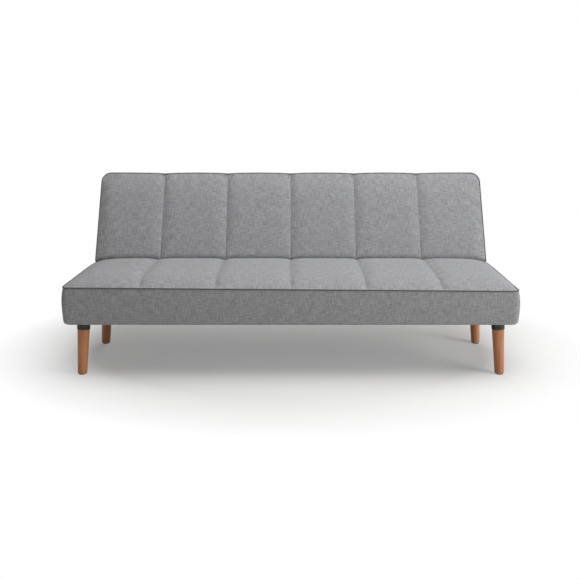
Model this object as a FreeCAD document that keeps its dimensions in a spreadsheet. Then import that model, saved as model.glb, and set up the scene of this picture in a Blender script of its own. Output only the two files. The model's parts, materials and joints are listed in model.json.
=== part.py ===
import FreeCAD, Part
import math
import os
import re
import Sketcher

V = FreeCAD.Vector
X_AXIS = V(1, 0, 0)
Y_AXIS = V(0, 1, 0)
Z_AXIS = V(0, 0, 1)
doc = FreeCAD.newDocument("ClickClackSofaBed")

# Driving sizes in millimetres and degrees. Two upholstered panels, the seat and the backrest,
# meet at a hinge line. Distances s run from that line out along a panel, heights h run up from it,
# both with the bed lying flat.
SIZES = [
    ("overall_width", 1800),  # seat, over its end faces
    ("seat_depth", 550),  # front face to the face in the crevice
    ("back_length", 427),  # face in the crevice to the top edge
    ("crevice", 18),  # between the panels when they lie flat
    ("leg_height", 220),  # floor to the underside
    ("edge_height", 146),  # underside to the welted edge
    ("crown_rise", 16),  # middle of the back above its welted edge
    ("seat_crown", 38),  # middle of the seat above its welted edge
    ("channel_dip", 7),  # sewn channel below the panels beside it
    ("channel_run", 18),  # how quickly the cover rises beside a channel
    ("seat_end_run", 45),  # how quickly the cover rises beside an end
    ("back_end_run", 18),
    ("channel_count", 5),
    ("shoulder", 140),  # stretch over which the cover rises from the far edge
    ("rear_slope", 130),  # stretch over which the seat falls towards the crevice
    ("rear_fall", 0.34),  # how much of the seat's height over the hinge line it loses there
    ("pivot_depth", 27),  # sleeping surface to the hinge line
    ("back_lean", 23),  # backrest from upright, in the sitting place
    ("fabric", 2),
    ("wadding", 8),
    ("front_wadding", 8),  # on the seat's front rail
    ("top_wadding", 26),  # on the back's top rail
    ("soft_clear", 0.3),
    ("edge_round", 8),
    ("base_round", 6),
    ("face_bulge", 4),
    ("least_swell", 0.5),  # so that a nearly flat face is still an arc
    ("overrun", 1),  # how far a cutter reaches past what it cuts
    ("seat_corner", 25),
    ("back_corner", 40),
    ("hem", 30),
    ("sheet_clear", 0.5),
    ("welt_r", 3),
    ("welt_clear", 0.6),
    ("welt_start", 10),  # along the end, past the rolled edge at the crevice
    ("rail_height", 70),
    ("rail_thickness", 24),
    ("stretcher_height", 50),
    ("stretcher_x", 300),
    ("block_side", 64),
    ("block_height", 30),
    ("joint_screw_r", 2.5),
    ("joint_screw_length", 60),
    ("joint_screw_edge", 15),
    ("joint_screw_head", 3),
    ("least_chamfer", 0.5),
    ("screw_clear", 0.05),
    ("insulator", 3),  # felt on the seat springs, webbing on the back frame
    ("spring_wire_r", 1.9),
    ("spring_half_width", 22),
    ("spring_gap", 0.1),  # wire to its clip and to the felt
    ("spring_end_gap", 1),
    ("spring_bars", 20),
    ("spring_count", 9),
    ("spring_spacing", 184),
    ("clip_width", 30),
    ("clip_drop", 24),
    ("clip_lip", 8),
    ("clip_sheet", 1.5),
    ("strap_width", 50),
    ("strap_set_in", 2),
    ("cross_strap_set_in", 12),
    ("strap_count", 7),
    ("strap_spacing", 230),
    ("cross_strap_count", 2),
    ("cross_strap_spacing", 150),
    ("leg_splay", 4),
    ("leg_top_r", 24.5),
    ("leg_foot_r", 18.8),
    ("leg_arris", 1),
    ("collar_r", 26),
    ("collar_height", 30),
    ("glide_r", 15),
    ("glide_height", 4),
    ("bolt_r", 4),
    ("bolt_in_leg", 34),
    ("bolt_clear", 0.05),
    ("bolt_spare", 2),  # of the bolt past its insert
    ("bore_spare", 1),  # of the bore past the bolt
    ("insert_r", 5.5),
    ("insert_length", 20),
    ("insert_sink", 0.5),
    ("sheet_hole_r", 7),
    ("plate", 4),
    ("hub_r", 15),
    ("pocket_clear", 1.5),
    ("slot_clear", 1),
    ("slot_margin", 5),  # round a plate's foot, in the foam and the felt
    ("rivet_r", 5),
    ("rivet_head_r", 9),
    ("rivet_head", 3.5),
    ("pivot_clear", 0.05),
    ("washer", 0.8),
    ("washer_clear", 0.2),
    ("arm_half", 11),
    ("mount_near", 50),
    ("mount_far", 130),
    ("mount_arm_width", 35),
    ("mount_height", 33),
    ("mount_drop", 3),  # below the top of the frame
    ("mount_screw_spacing", 28),
    ("coach_screw_r", 4),
    ("coach_screw_length", 20),
    ("coach_head_r", 7),
    ("coach_head", 5),
    ("hole_spare", 0.5),
    ("tooth_r", 36),
    ("tooth_root_r", 29),
    ("tooth_angle", 227),  # load face of the sitting tooth, in the sitting place
    ("click_angle", 33),  # from one tooth's load face to the next
    ("sitting_tooth_width", 10),
    ("resting_tooth_width", 10),
    ("root_angle", 48),
    ("pawl_s", 53.5),
    ("pawl_drop", 7.5),
    ("pawl_length", 34.4),
    ("pawl_hub_r", 6.5),
    ("pawl_root", 9),
    ("pawl_tip", 3.2),
    ("pawl_angle", 38),  # below level, lifted off the teeth
    ("pawl_pin_r", 3),
    ("pawl_pin_head_r", 5),
    ("pawl_pin_head", 2),
    ("peg_s", 72),
    ("peg_rise", 5),
    ("peg_r", 2),
    ("spring_strip", 0.8),
    ("spring_side_gap", 0.5),
    ("spring_tip_reach", 3),
    ("spring_tip_gap", 0.3),
    ("spring_eye_clear", 0.1),
]

# Places that follow from the driving sizes
DERIVED = [
    ("flat_angle", "90 - back_lean"),
    ("underside", "pivot_depth - crown_rise - edge_height"),
    ("pivot_height", "leg_height - underside"),
    ("edge_level", "pivot_depth - crown_rise"),
    ("pad", "fabric + wadding"),
    ("frame_base", "underside + fabric"),
    ("frame_top", "frame_base + rail_height"),
    ("foam_base", "frame_top + insulator"),
    ("near_face", "crevice / 2"),
    ("near_rail", "near_face + pad"),
    ("near_inner", "near_rail + rail_thickness"),
    ("seat_far_face", "near_face + seat_depth"),
    ("back_far_face", "near_face + back_length"),
    ("seat_far_rail", "seat_far_face - fabric - front_wadding"),
    ("back_far_rail", "back_far_face - fabric - top_wadding"),
    ("seat_half", "overall_width / 2"),
    ("plate_gap", "washer + washer_clear"),
    ("back_half", "seat_half - plate - plate_gap"),  # a hinge plate and its gap inside the seat
    ("seat_end_rail", "seat_half - pad"),
    ("back_end_rail", "back_half - pad"),
    ("seat_end_inner", "seat_end_rail - rail_thickness"),
    ("back_end_inner", "back_end_rail - rail_thickness"),
    ("seat_corner_x", "seat_corner - pad"),
    ("back_corner_x", "back_corner - pad"),
    ("seat_corner_s", "seat_corner - fabric - front_wadding"),
    ("back_corner_s", "back_corner - fabric - top_wadding"),
    ("seat_free_r", "seat_corner - base_round - soft_clear"),
    ("back_free_r", "back_corner - base_round - soft_clear"),
    ("seat_saw", "least_chamfer + max(0; seat_corner_x - sqrt(abs(seat_free_r^2 - seat_corner_s^2));"
                 " seat_corner_s - sqrt(abs(seat_free_r^2 - seat_corner_x^2)))"),
    ("back_saw", "least_chamfer + max(0; back_corner_x - sqrt(abs(back_free_r^2 - back_corner_s^2));"
                 " back_corner_s - sqrt(abs(back_free_r^2 - back_corner_x^2)))"),
    ("near_leg_s", "near_inner + block_side / 2"),
    ("seat_far_leg_s", "seat_far_rail - rail_thickness - block_side / 2"),
    ("back_far_leg_s", "back_far_rail - rail_thickness - block_side / 2"),
    ("seat_leg_x", "seat_end_inner - block_side / 2"),
    ("back_leg_x", "back_end_inner - block_side / 2"),
    ("leg_axis", "leg_height / cos(leg_splay * 1 deg)"),
    ("wood_length", "leg_axis - glide_height - collar_height"),
    ("collar_spare", "collar_r * sin(leg_splay * 1 deg) + overrun"),
    ("glide_spare", "glide_r * sin(leg_splay * 1 deg) + overrun"),
    ("trim_half", "2 * collar_r"),
    ("seat_plate_x", "seat_end_inner - plate"),
    ("back_plate_x", "back_end_inner - plate"),
    ("mount_top", "frame_top - mount_drop"),
    ("mount_base", "mount_top - mount_height"),
    ("mount_screw_h", "mount_top - mount_height / 2"),
    ("mount_screw_s", "(mount_near + mount_far) / 2"),
    ("slot_top", "hub_r + pocket_clear"),
    ("slot_inner_x", "back_plate_x - coach_head - slot_clear"),
    ("slot_outer_x", "seat_plate_x + plate + rivet_head + slot_clear / 2"),
    ("rear_reach", "(back_far_leg_s + glide_r) * cos(flat_angle * 1 deg)"
                   " + pivot_height * sin(flat_angle * 1 deg)"),
    ("front_reach", "seat_far_face + face_bulge"),
    ("pivot_y", "(front_reach - rear_reach) / 2"),
]

sheet = doc.addObject("Spreadsheet::Sheet", "Sizes")
for row, (alias, value) in enumerate(SIZES, start=1):
    sheet.set(f"A{row}", alias.replace("_", " "))
    sheet.set(f"B{row}", str(value))
    sheet.setAlias(f"B{row}", alias)
doc.recompute()

HOME = {alias: "Sizes." + alias for alias, value in SIZES}


def bound(text):
    """An expression in plain names, with each name led to the sheet or to the derived places."""
    return re.sub(r"[a-z_]+", lambda word: HOME.get(word.group(0), word.group(0)), str(text))


places = doc.addObject("App::VarSet", "Places")
for name, text in DERIVED:
    places.addProperty("App::PropertyFloat", name, "Places")
    places.setExpression(name, bound(text))
    HOME[name] = "Places." + name
doc.recompute()


class Sizes:
    """The same values as numbers, for the shapes that are made from curves."""

    def __getattr__(self, name):
        if HOME[name].startswith("Sizes."):
            return float(sheet.get(name))
        return getattr(places, name)


size = Sizes()


class Panel:
    """One of the two upholstered panels. Its direction is -1 towards the front, +1 to the rear."""

    def __init__(self, name, direction, corner):
        self.name = name
        self.direction = direction
        self.corner = corner
        self.half = name + "_half"
        self.crown = "seat_crown" if name == "seat" else "crown_rise"
        self.end_run = name + "_end_run"
        self.far_face = name + "_far_face"
        self.far_rail = name + "_far_rail"
        self.end_rail = name + "_end_rail"
        self.end_inner = name + "_end_inner"
        self.leg_x = name + "_leg_x"
        self.far_leg_s = name + "_far_leg_s"
        self.plate_x = name + "_plate_x"
        self.saw = name + "_saw"

    def y(self, s):
        """Where a distance from the hinge line lies along Y."""
        return f"-({s})" if self.direction < 0 else f"({s})"


SEAT = Panel("seat", -1, "seat_corner")
BACK = Panel("back", 1, "back_corner")
PANELS = (SEAT, BACK)
SIDES = (("left", -1), ("right", 1))


def bind(thing, **expressions):
    for name, text in expressions.items():
        thing.setExpression(name.replace("__", "."), bound(text))
    return thing


def part(kind, name):
    return doc.addObject("Part::" + kind, name)


def set_place(thing, x, y, z):
    return bind(thing, Placement__Base__x=x, Placement__Base__y=y, Placement__Base__z=z)


def box(name, panel, x, s, h, width, run, height, side=1):
    """A block from x, s and h outwards. Side -1 mirrors it to the left."""
    solid = bind(part("Box", name), Length=width, Width=run, Height=height)
    start = s if panel.direction > 0 else f"({s}) + ({run})"
    return set_place(solid, x if side > 0 else f"-({x}) - ({width})", panel.y(start), h)


def rod_x(name, panel, x, s, h, radius, length, side=1):
    """A round bar along X, from x outwards."""
    solid = bind(part("Cylinder", name), Radius=radius, Height=length)
    solid.Placement = FreeCAD.Placement(V(), FreeCAD.Rotation(Y_AXIS, 90))
    return set_place(solid, x if side > 0 else f"-({x}) - ({length})", panel.y(s), h)


def rod_s(name, panel, x, s, h, radius, length, side=1):
    """A round bar along the panel, from s outwards."""
    solid = bind(part("Cylinder", name), Radius=radius, Height=length)
    solid.Placement = FreeCAD.Placement(V(), FreeCAD.Rotation(X_AXIS, -90))
    start = s if panel.direction > 0 else f"({s}) + ({length})"
    return set_place(solid, f"{side} * ({x})", panel.y(start), h)


def rod_h(name, panel, x, s, h, radius, height, side=1):
    """An upright round bar, from h upwards."""
    solid = bind(part("Cylinder", name), Radius=radius, Height=height)
    return set_place(solid, f"{side} * ({x})", panel.y(s), h)


def group(name, pieces):
    together = part("Compound", name)
    together.Links = pieces
    return together


def fuse(name, pieces):
    joined = part("MultiFuse", name)
    joined.Shapes = pieces
    return joined


def cut(name, base, tools):
    rest = part("Cut", name)
    rest.Base = base
    rest.Tool = group(name + "_tools", tools)
    return rest


def common(name, first, second):
    shared = part("Common", name)
    shared.Base = first
    shared.Tool = second
    return shared


NODES = []


def node(label, panel, pieces):
    """A named piece, or a set of identical ones, hung from the hinge line in the sitting place."""
    piece = group(label, pieces)
    piece.Label = label
    if panel is BACK:
        piece.Placement = FreeCAD.Placement(V(), FreeCAD.Rotation(X_AXIS, 1))
        bind(piece, Placement__Rotation__Angle="flat_angle")
    set_place(piece, "0", "pivot_y", "pivot_height")
    NODES.append(piece)
    return piece


def feature(name, shape):
    solid = doc.addObject("Part::Feature", name)
    solid.Shape = shape
    return solid


# Cover: a crowned slab sewn into panels. Each station across the width has one section along the
# panel, of straight lines and short arcs.
def cover_level(panel, x):
    """Height of the sleeping surface over the hinge line at x, clear of the far shoulder."""
    half = getattr(size, panel.half)
    span = 2 * half / (size.channel_count + 1)
    seams = [span * (i + 1) - half for i in range(int(size.channel_count))]
    nearest = min(abs(x - seam) for seam in seams)
    from_end = max(half - size.edge_round - abs(x), 0)
    crown = getattr(size, panel.crown)
    rise = crown * (1 - math.exp(-from_end / getattr(size, panel.end_run))) + size.least_swell
    return size.edge_level + rise - size.channel_dip * math.exp(-nearest / size.channel_run)


def arc_between(start, end, sagitta):
    """An arc that stands off its chord by the sagitta, on the left when it is positive."""
    along = end - start
    side = V(0, -along.z, along.y).normalize()
    return Part.Arc(start, (start + end) / 2 + side * sagitta, end).toShape()


def quarter(start, end, centre):
    """The short arc from start to end round a centre."""
    middle = (start + end) / 2 - centre
    return Part.Arc(start, centre + middle.normalize() * (start - centre).Length, end).toShape()


def cover_section(panel, x, level, inset, end_inset, corner_inset):
    """Closed outline at one station. Inset is the depth below the fabric's outside."""
    near = size.near_face + inset + end_inset
    far = getattr(size, panel.far_face) - inset - corner_inset
    base = size.underside + inset + end_inset
    top = level - inset - end_inset
    edge = size.edge_level - inset - end_inset
    fall = size.rear_fall if panel is SEAT else 0
    brow_height = max(top, 1) * (1 - fall)
    hump_run = size.rear_slope
    low = size.base_round - inset
    round_r = size.edge_round - inset

    def at(s, h):
        return V(x, panel.direction * s, h)

    face_base = at(far, base + low)
    face_top = at(far, edge - round_r)
    ridge = at(far - round_r, edge)
    crest = at(far - size.shoulder, top)
    lean = 2 * math.atan2(max(top, 1) * fall, hump_run)
    roll = brow_height / math.cos(lean)
    brow = at(near + roll * (1 - math.sin(lean)), top - max(top, 1) * fall)
    near_top = at(near, brow.z - brow_height)
    near_base = at(near, base + low)
    rise = crest.z - ridge.z
    run = abs(crest.y - ridge.y)
    swell = math.hypot(rise, run) / 2 * math.tan(math.atan2(rise, run) / 2)
    turn = panel.direction
    bulge = size.face_bulge * math.sin(math.pi / 2 * max(0, 1 - end_inset / size.edge_round))
    edges = [
        Part.makeLine(at(near + low, base), at(far - low, base)),
        quarter(at(far - low, base), face_base, at(far - low, base + low)),
        arc_between(face_base, face_top, -turn * max(bulge, size.least_swell)),
        quarter(face_top, ridge, at(far - round_r, edge - round_r)),
        arc_between(ridge, crest, -turn * swell),
    ]
    if fall:
        hump = at(near + hump_run, top)
        drop = hump.z - brow.z
        back_run = abs(hump.y - brow.y)
        sag = math.hypot(drop, back_run) / 2 * math.tan(math.atan2(drop, back_run) / 2)
        edges += [Part.makeLine(crest, hump), arc_between(hump, brow, -turn * sag)]
    else:
        edges.append(Part.makeLine(crest, brow))
    edges += [
        quarter(brow, near_top, at(near + roll, near_top.z)),
        Part.makeLine(near_top, near_base),
        quarter(near_base, at(near + low, base), at(near + low, base + low)),
    ]
    return Part.Wire(edges)


def stations(panel, inset):
    """Places across the width, with how far the end and the plan corners are rounded in there."""
    half = getattr(size, panel.half)
    corner = getattr(size, panel.corner)
    span = 2 * half / (size.channel_count + 1)
    found = []
    for number in range(int(size.channel_count) + 1):
        for share in (0, 0.05, 0.15, 0.35, 0.5, 0.65, 0.85, 0.95):
            x = span * (number + share) - half
            if abs(x) < half - corner - 1:
                found.append((x, 0, 0))
    round_r = size.edge_round - inset
    ends = []
    for turn in (0, 22, 42, 58, 68):
        ends.append(half - corner + (corner - inset) * math.sin(math.radians(turn)))
    for turn in (0, 30, 60, 90):
        x = half - size.edge_round + round_r * math.sin(math.radians(turn))
        if min(abs(x - other) for other in ends) > 0.3:
            ends.append(x)
    for x in ends:
        into_end = max(x - (half - size.edge_round), 0)
        end_inset = round_r - math.sqrt(max(round_r ** 2 - into_end ** 2, 0))
        into_corner = min(x - (half - corner), corner - inset)
        corner_inset = corner - inset - math.sqrt((corner - inset) ** 2 - into_corner ** 2)
        found.append((x, end_inset, min(corner_inset, corner - inset - 1)))
        found.append((-x, end_inset, min(corner_inset, corner - inset - 1)))
    return sorted(found)


def cover_form(panel, inset):
    sections = []
    for x, end_inset, corner_inset in stations(panel, inset):
        level = cover_level(panel, x)
        sections.append(cover_section(panel, x, level, inset, end_inset, corner_inset))
    return Part.makeLoft(sections, True, True)


def block(panel, x_low, x_high, s_low, s_high, h_low, h_high):
    """A plain block between limits, for cutting."""
    y_low = min(panel.direction * s_low, panel.direction * s_high)
    return Part.makeBox(x_high - x_low, s_high - s_low, h_high - h_low, V(x_low, y_low, h_low))


def hinge_slots(panel, through_cover):
    """Room for the hinge plates at both ends: a disc at the hinge line, and a slot in the foam."""
    reach = (size.tooth_r if panel is SEAT else size.slot_top) + size.pocket_clear
    width = size.slot_outer_x - size.slot_inner_x
    slots = []
    for name, side in SIDES:
        x = size.slot_inner_x if side > 0 else -size.slot_outer_x
        disc = Part.makeCylinder(reach, width, V(x, 0, 0), X_AXIS)
        lid = Part.makeBox(width, 2 * reach, reach, V(x, -reach, size.slot_top))
        slots.append(disc.cut(lid))
        if not through_cover:
            depth = size.mount_far + size.slot_margin
            low = size.mount_base - size.slot_margin
            slots.append(block(panel, x, x + width, 0, depth, low, size.slot_top))
    return slots


def welt_cord(panel, radius):
    """The cord's path runs round both ends and the far side, just off the edge it is sewn into."""
    stand = (size.edge_round + size.welt_r + size.welt_clear) * math.sqrt(0.5) - size.edge_round
    x_out = getattr(size, panel.half) + stand
    far = getattr(size, panel.far_face) + stand
    level = size.edge_level + stand
    turn = getattr(size, panel.corner) + stand
    near = size.near_face + size.pivot_depth + size.welt_start
    centre_x = x_out - turn
    centre_s = far - turn
    bend = turn * math.sqrt(0.5)

    def at(x, s):
        return V(x, panel.direction * s, level)

    path = Part.Wire([
        Part.makeLine(at(-x_out, near), at(-x_out, centre_s)),
        Part.Arc(at(-x_out, centre_s), at(-centre_x - bend, centre_s + bend),
                 at(-centre_x, far)).toShape(),
        Part.makeLine(at(-centre_x, far), at(centre_x, far)),
        Part.Arc(at(centre_x, far), at(centre_x + bend, centre_s + bend),
                 at(x_out, centre_s)).toShape(),
        Part.makeLine(at(x_out, centre_s), at(x_out, near)),
    ])
    ring = Part.Wire(Part.makeCircle(radius, at(-x_out, near), Y_AXIS))
    return path.makePipeShell([ring], True, False)


def upholstery(panel):
    half = getattr(size, panel.half)
    far_face = getattr(size, panel.far_face)
    outer = cover_form(panel, 0)
    inner = cover_form(panel, size.fabric)
    window_far = far_face - size.hem
    window = block(panel, size.hem - half, half - size.hem, size.near_face + size.hem, window_far,
                   size.underside - size.overrun, size.frame_base + size.overrun)
    groove = welt_cord(panel, size.welt_r + size.soft_clear)
    cover = outer.cut([inner, window, groove] + hinge_slots(panel, True))
    node(panel.name + "_cover", panel, [feature(panel.name + "_cover_shell", cover)])
    cord = welt_cord(panel, size.welt_r)
    node(panel.name + "_welt", panel, [feature(panel.name + "_welt_cord", cord)])

    stuffing = cover_form(panel, size.fabric + size.soft_clear)
    end_rail = getattr(size, panel.end_rail)
    far_rail = getattr(size, panel.far_rail)
    beyond = far_face + 2 * size.face_bulge
    slab = stuffing.cut([block(panel, -half, half, 0, beyond, size.underside, size.foam_base)]
                        + hinge_slots(panel, False))
    node(panel.name + "_foam", panel, [feature(panel.name + "_foam_slab", slab)])
    clear = size.soft_clear
    core = block(panel, -end_rail - clear, end_rail + clear, size.near_rail - clear,
                 far_rail + clear, size.underside, size.foam_base)
    above = block(panel, -half, half, 0, beyond, size.foam_base, size.pivot_depth + size.seat_crown)
    wrap = stuffing.cut([core, above] + hinge_slots(panel, True))
    node(panel.name + "_side_wadding", panel, [feature(panel.name + "_wadding_wrap", wrap)])


for panel in PANELS:
    upholstery(panel)


# Frames: rails butted at the corners, two stretchers, blocks for the legs, and long screws
def joint_screw(name, panel, side, far, h, clear):
    """A countersunk screw through a long rail into an end rail."""
    x = f"{panel.end_rail} - rail_thickness / 2"
    length = f"joint_screw_length + {clear}"
    start = f"{panel.far_rail} - ({length})" if far else "near_rail"
    shank = rod_s(name, panel, x, start, h, f"joint_screw_r + {clear}", length, side)
    head_start = f"{panel.far_rail} - joint_screw_head" if far else "near_rail"
    head = rod_s(name + "_head", panel, x, head_start, h, f"joint_screw_r * 2 + {clear}",
                 "joint_screw_head", side)
    return fuse(name + "_screw", [shank, head])


def corner_saw(panel, label, side):
    """A block set diagonally over a far corner of the frame, to saw it off inside the cover."""
    saw = panel.saw
    off_cut = bind(part("Box", f"{panel.name}_corner_saw_{label}"),
                   Length=f"{saw} * sqrt(2)", Width=f"{saw} * sqrt(2)", Height="rail_height + 2 * overrun")
    off_cut.Placement = FreeCAD.Placement(V(), FreeCAD.Rotation(Z_AXIS, 45))
    y = f"{panel.direction} * {panel.far_rail} - {saw}"
    return set_place(off_cut, f"{side} * {panel.end_rail}", y, "frame_base - overrun")


def frame(panel):
    end = panel.end_rail
    inner = panel.end_inner
    far_inner = f"{panel.far_rail} - rail_thickness"
    screws = []
    holes = {}
    for label, side in SIDES:
        for far in (False, True):
            for level, h in enumerate(("frame_base + joint_screw_edge",
                                       "frame_top - joint_screw_edge / 2")):
                name = f"{panel.name}_{label}_{'far' if far else 'near'}_{level}"
                screws.append(joint_screw(name, panel, side, far, h, "0"))
                hole = joint_screw(name + "_hole", panel, side, far, h, "screw_clear")
                holes.setdefault(label, []).append(hole)
                holes.setdefault(far, []).append(hole)
    long_rails = ((False, "near_rail", "front" if panel is BACK else "rear"),
                  (True, far_inner, "top" if panel is BACK else "front"))
    for far, s, place in long_rails:
        name = "back_lower_rail" if panel is BACK and not far else f"{panel.name}_{place}_rail"
        rail = box(name + "_board", panel, f"-{end}", s, "frame_base", f"2 * {end}",
                   "rail_thickness", "rail_height")
        tools = list(holes[far])
        if far:
            tools += [corner_saw(panel, label, side) for label, side in SIDES]
        node(name, panel, [cut(name + "_drilled", rail, tools)])
    for label, side in SIDES:
        name = f"{panel.name}_end_rail_{label}"
        rail = box(name + "_board", panel, inner, "near_inner", "frame_base", "rail_thickness",
                   f"{far_inner} - near_inner", "rail_height", side)
        drillings = list(holes[label])
        for number in (-1, 0, 1):
            drillings.append(rod_x(f"{name}_hinge_hole_{number + 1}", panel, inner,
                                   f"mount_screw_s + {number} * mount_screw_spacing",
                                   "mount_screw_h", "coach_screw_r + screw_clear",
                                   "coach_screw_length - plate + hole_spare", side))
        node(name, panel, [cut(name + "_drilled", rail, drillings)])
    stretchers = [
        box(f"{panel.name}_stretcher_{label}", panel, "stretcher_x - rail_thickness / 2",
            "near_inner", "frame_base", "rail_thickness", f"{far_inner} - near_inner",
            "stretcher_height", side)
        for label, side in SIDES
    ]
    node(panel.name + "_stretchers", panel, stretchers)
    node(panel.name + "_frame_screws", panel, screws)


for panel in PANELS:
    frame(panel)


# Seat springs: zigzag wire from the rear rail to the front rail, each end bar on a clip's lip
def zigzag_spring():
    set_in = size.clip_sheet + size.spring_wire_r + size.spring_end_gap
    first = size.near_inner + set_in
    last = size.seat_far_rail - size.rail_thickness - set_in
    gaps = int(size.spring_bars) - 1
    pitch = (last - first) / gaps
    bend = pitch / 2
    reach = size.spring_half_width - bend
    edges = []
    for number in range(gaps + 1):
        side = 1 if number % 2 else -1
        s = -(first + number * pitch)
        edges.append(Part.makeLine(V(-side * reach, s, 0), V(side * reach, s, 0)))
        if number < gaps:
            tip = V(side * (reach + bend), s - bend, 0)
            shift = bend * math.sqrt(0.5)
            early = V(side * (reach + shift), s - bend + shift, 0)
            late = V(side * (reach + shift), s - bend - shift, 0)
            edges.append(Part.Arc(V(side * reach, s, 0), early, tip).toShape())
            edges.append(Part.Arc(tip, late, V(side * reach, s - pitch, 0)).toShape())
    path = Part.Wire(edges)
    start = edges[0].Vertexes[0].Point
    ring = Part.Wire(Part.makeCircle(size.spring_wire_r, start, X_AXIS))
    return path.makePipeShell([ring], True, False)


spring_level = size.frame_top - size.spring_wire_r - size.spring_gap
wire = zigzag_spring()
springs = []
clips = []
for number in range(int(size.spring_count)):
    x = (number - (size.spring_count - 1) / 2) * size.spring_spacing
    copy = wire.copy()
    copy.translate(V(x, 0, spring_level))
    springs.append(feature(f"zigzag_spring_{number + 1}", copy))
    place = f"({number} - (spring_count - 1) / 2) * spring_spacing - clip_width / 2"
    for end, back_s, lip_s in (
        ("rear", "near_inner", "near_inner + clip_sheet"),
        ("front", "seat_far_rail - rail_thickness - clip_sheet",
         "seat_far_rail - rail_thickness - clip_sheet - clip_lip"),
    ):
        name = f"spring_clip_{end}_{number + 1}"
        back = box(name + "_plate", SEAT, place, back_s, "frame_top - clip_drop", "clip_width",
                   "clip_sheet", "clip_drop")
        lip = box(name + "_lip", SEAT, place, lip_s,
                  "frame_top - 2 * spring_wire_r - spring_gap - clip_sheet", "clip_width", "clip_lip",
                  "clip_sheet")
        clips.append(fuse(name, [back, lip]))
node("seat_zigzag_springs", SEAT, springs)
node("seat_spring_clips", SEAT, clips)


# Insulator felt over the springs, with a cut-out for each hinge
felt_sheet = box("felt_sheet", SEAT, "-seat_end_rail", "near_rail", "frame_top",
                 "2 * seat_end_rail", "seat_far_rail - near_rail", "insulator")
felt_slots = [
    box(f"felt_slot_{label}", SEAT, "slot_inner_x", "0", "frame_top - overrun",
        "slot_outer_x - slot_inner_x", "mount_far + slot_margin", "insulator + 2 * overrun", side)
    for label, side in SIDES
]
node("seat_spring_felt", SEAT, [cut("felt_cut", felt_sheet, felt_slots)])


# Back webbing: elastic straps up the panel, with two more across them
upright_straps = [
    box(f"upright_strap_{number + 1}", BACK,
        f"({number} - (strap_count - 1) / 2) * strap_spacing - strap_width / 2",
        "near_rail + strap_set_in", "frame_top", "strap_width",
        "back_far_rail - near_rail - 2 * strap_set_in", "insulator / 2")
    for number in range(int(size.strap_count))
]
cross_straps = [
    box(f"cross_strap_{number + 1}", BACK, "cross_strap_set_in - back_end_inner",
        f"(near_rail + back_far_rail - strap_width) / 2"
        f" + ({number} - (cross_strap_count - 1) / 2) * cross_strap_spacing",
        "frame_top + insulator / 2", "2 * (back_end_inner - cross_strap_set_in)", "strap_width",
        "insulator / 2")
    for number in range(int(size.cross_strap_count))
]
node("back_upright_webbing", BACK, upright_straps)
node("back_cross_webbing", BACK, cross_straps)


# Legs: a turned taper under a black collar, screwed into an insert in a corner block
def origin_plane(body, role):
    return [plane for plane in body.Origin.OriginFeatures if plane.Role == role][0]


def polygon_sketch(body, name, role, corners):
    """A closed outline through corners given as expressions, each bound by two distances."""
    sketch = body.newObject("Sketcher::SketchObject", name)
    sketch.AttachmentSupport = (origin_plane(body, role), "")
    sketch.MapMode = "FlatFace"
    guess = [V(10 * math.cos(2 * math.pi * i / len(corners)) + 50,
               10 * math.sin(2 * math.pi * i / len(corners)) + 50, 0)
             for i in range(len(corners))]
    for i, start in enumerate(guess):
        sketch.addGeometry(Part.LineSegment(start, guess[(i + 1) % len(guess)]), False)
    for i in range(len(corners)):
        sketch.addConstraint(Sketcher.Constraint("Coincident", i, 2, (i + 1) % len(corners), 1))
    for i, (across, up) in enumerate(corners):
        for kind, text in (("DistanceX", across), ("DistanceY", up)):
            start = guess[i].x if kind == "DistanceX" else guess[i].y
            number = sketch.addConstraint(Sketcher.Constraint(kind, -1, 1, i, 1, start))
            sketch.setExpression(f"Constraints[{number}]", bound(text))
    doc.recompute()
    return sketch


def on_leg_axis(thing, panel, leg_s, side, distance):
    """Places a piece on a leg's splayed axis, at a distance below the underside."""
    thing.Placement = FreeCAD.Placement(V(), FreeCAD.Rotation(V(0, -side, 0), 1))
    bind(thing, Placement__Rotation__Angle="leg_splay")
    x = f"{side} * ({panel.leg_x} + ({distance}) * sin(leg_splay * 1 deg))"
    return set_place(thing, x, panel.y(leg_s), f"underside - ({distance}) * cos(leg_splay * 1 deg)")


def wood_leg(name):
    """A tapered turning, bored for its hanger bolt, standing on its foot end."""
    body = doc.addObject("PartDesign::Body", name)
    profile = polygon_sketch(body, name + "_profile", "XZ_Plane", [
        ("bolt_r + bolt_clear", "wood_length"),
        ("leg_top_r", "wood_length"),
        ("leg_foot_r", "leg_arris"),
        ("leg_foot_r - leg_arris", "0"),
        ("0", "0"),
        ("0", "wood_length - bolt_in_leg - bore_spare"),
        ("bolt_r + bolt_clear", "wood_length - bolt_in_leg - bore_spare"),
    ])
    turning = body.newObject("PartDesign::Revolution", name + "_turning")
    turning.Profile = profile
    turning.ReferenceAxis = (profile, ["V_Axis"])
    turning.Angle = 360
    return body


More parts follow.
